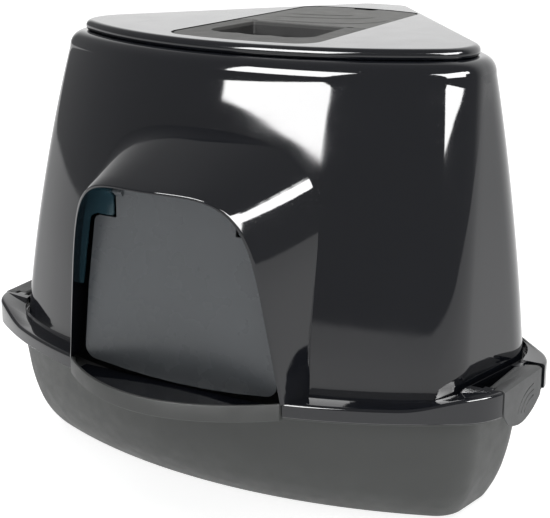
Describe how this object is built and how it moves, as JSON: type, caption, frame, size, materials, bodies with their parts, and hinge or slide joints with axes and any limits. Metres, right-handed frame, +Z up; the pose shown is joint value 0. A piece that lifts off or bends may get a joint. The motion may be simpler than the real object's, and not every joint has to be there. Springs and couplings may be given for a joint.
{
  "type": "hooded cat litter box",
  "caption": "Corner cat litter box: a deep tray under a lift-off glossy hood with a swinging see-through door flap, side latches, a grip opening on top and a hinged lid over a carbon filter.",
  "frame": {"origin": "middle of the whole object's footprint, on the floor under the tray", "axes": "+X to the right seen from the front, +Y towards the rear corner, +Z up; the door faces -Y"},
  "size_m": [0.562, 0.4957, 0.419],
  "materials": {
    "tray_plastic": "fine satin texture, dark grey",
    "hood_plastic": "high gloss, near black with a blue tint",
    "cover_plastic": "high gloss, near black with a blue tint",
    "flap_plastic": "smooth smoky see-through sheet",
    "latch_plastic": "satin, mid grey",
    "handle_plastic": "fine matte texture, warm grey",
    "lid_plastic": "fine matte texture, warm grey",
    "pin_steel": "plain drawn wire",
    "filter_foam": "open black carbon foam"
  },
  "bodies": {
    "tray": {"litter_tray": "tray_plastic"},
    "hood": {"hood_shell": "hood_plastic", "top_cover": "cover_plastic", "handle_frame": "handle_plastic", "carbon_filter": "filter_foam", "lid_hinge_pin": "pin_steel", "latch_pin_right": "pin_steel", "latch_pin_left": "pin_steel"},
    "flap": {"door_flap": "flap_plastic"},
    "right_latch": {"latch_right": "latch_plastic"},
    "left_latch": {"latch_left": "latch_plastic"},
    "lid": {"filter_lid": "lid_plastic"}
  },
  "joints": [
    {"name": "hood_lift", "type": "slide", "parent": "tray", "child": "hood", "axis": [0, 0, 1], "range_m": [0, 0.15]},
    {"name": "flap_swing", "type": "hinge", "parent": "hood", "child": "flap", "pos_m": [0, -0.1885, 0.2915], "axis": [1, 0, 0], "range_deg": [-45, 60]},
    {"name": "right_latch_swing", "type": "hinge", "parent": "hood", "child": "right_latch", "pos_m": [0.2604, -0.0925, 0.135], "axis": [0, -1, 0], "range_deg": [0, 75]},
    {"name": "left_latch_swing", "type": "hinge", "parent": "hood", "child": "left_latch", "pos_m": [-0.2604, -0.0925, 0.135], "axis": [0, 1, 0], "range_deg": [0, 75]},
    {"name": "filter_lid_swing", "type": "hinge", "parent": "hood", "child": "lid", "pos_m": [0, 0.03, 0.4162], "axis": [1, 0, 0], "range_deg": [0, 95]}
  ]
}
